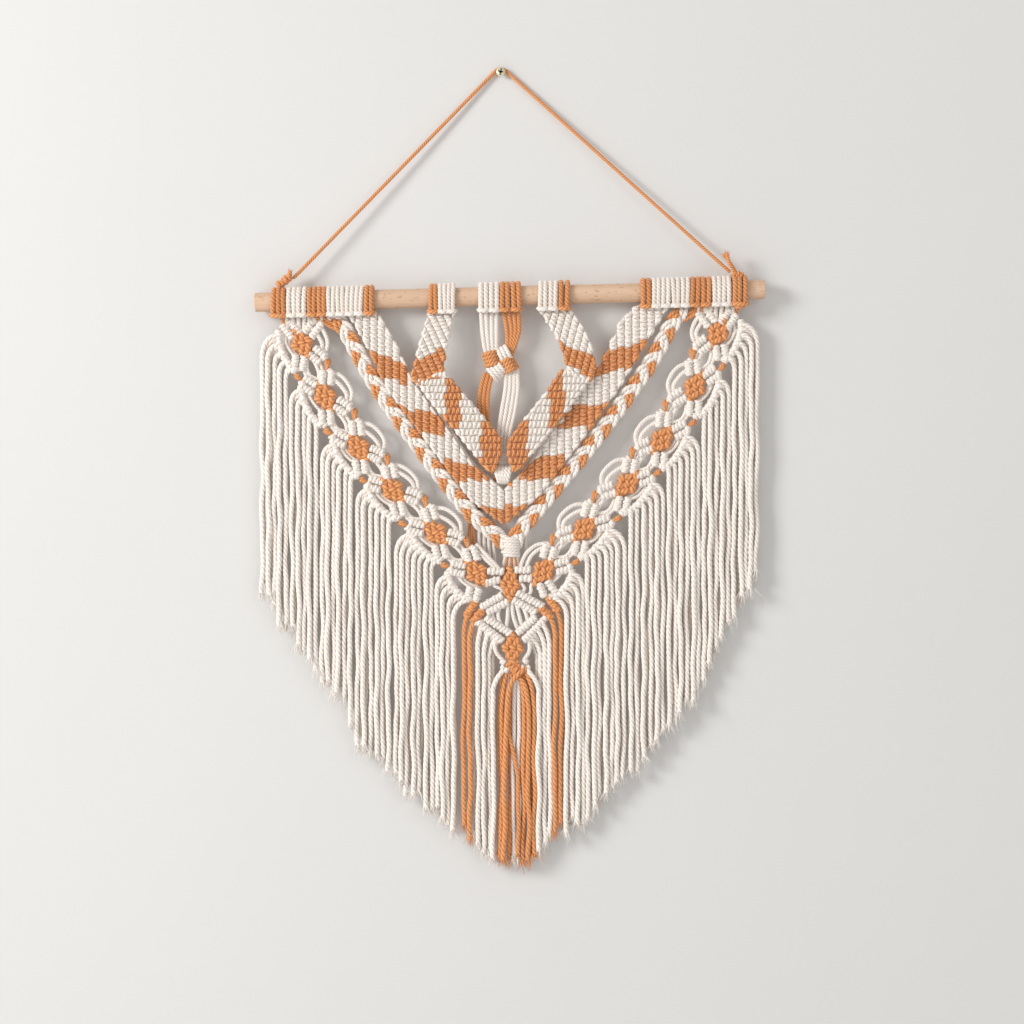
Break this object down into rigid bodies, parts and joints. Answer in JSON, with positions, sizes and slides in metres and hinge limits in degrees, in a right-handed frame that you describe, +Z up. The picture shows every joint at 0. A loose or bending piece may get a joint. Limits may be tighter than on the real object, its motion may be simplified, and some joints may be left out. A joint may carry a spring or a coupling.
{
  "type": "macrame wall hanging on its wooden dowel",
  "caption": "Knotted cotton wall hanging in cream and rust on a round wooden dowel, V-shaped knotted bands over a long pointed fringe, hung by one cord from a wall screw.",
  "frame": {"origin": "middle of the flat rear face of the wall screw, on the wall's surface", "axes": "+Y points into the wall, -Y towards the viewer, +Z up, +X to the viewer's right along the wall"},
  "size_m": [0.4002, 0.0245, 0.6261],
  "materials": {
    "cream_cotton": "matt three-ply cotton cord, off-white",
    "rust_cotton": "matt three-ply cotton cord, terracotta",
    "beech": "sanded, unvarnished",
    "brass": "yellow zinc plated steel"
  },
  "bodies": {
    "root": {"dowel": "beech", "wall_screw": "brass", "hanging_cord": "rust_cotton", "cord_knot_left": "rust_cotton", "cord_knot_right": "rust_cotton", "v_band": "cream_cotton", "outer_panel_left": "cream_cotton", "outer_panel_right": "cream_cotton", "inner_panel_left": "cream_cotton", "inner_panel_right": "cream_cotton", "braid_left": "cream_cotton", "braid_right": "cream_cotton", "gathering_wrap": "cream_cotton", "centre_tie": "cream_cotton", "fringe_left_1": "cream_cotton", "fringe_left_2": "cream_cotton", "fringe_left_3": "cream_cotton", "fringe_left_4": "cream_cotton", "fringe_left_5": "cream_cotton", "fringe_left_6": "cream_cotton", "fringe_right_1": "cream_cotton", "fringe_right_2": "cream_cotton", "fringe_right_3": "cream_cotton", "fringe_right_4": "cream_cotton", "fringe_right_5": "cream_cotton", "fringe_right_6": "cream_cotton", "fringe_centre_left": "cream_cotton", "fringe_centre_right": "cream_cotton", "rust_strands_left": "rust_cotton", "rust_strands_right": "rust_cotton", "tassel": "rust_cotton"}
  },
  "joints": []
}
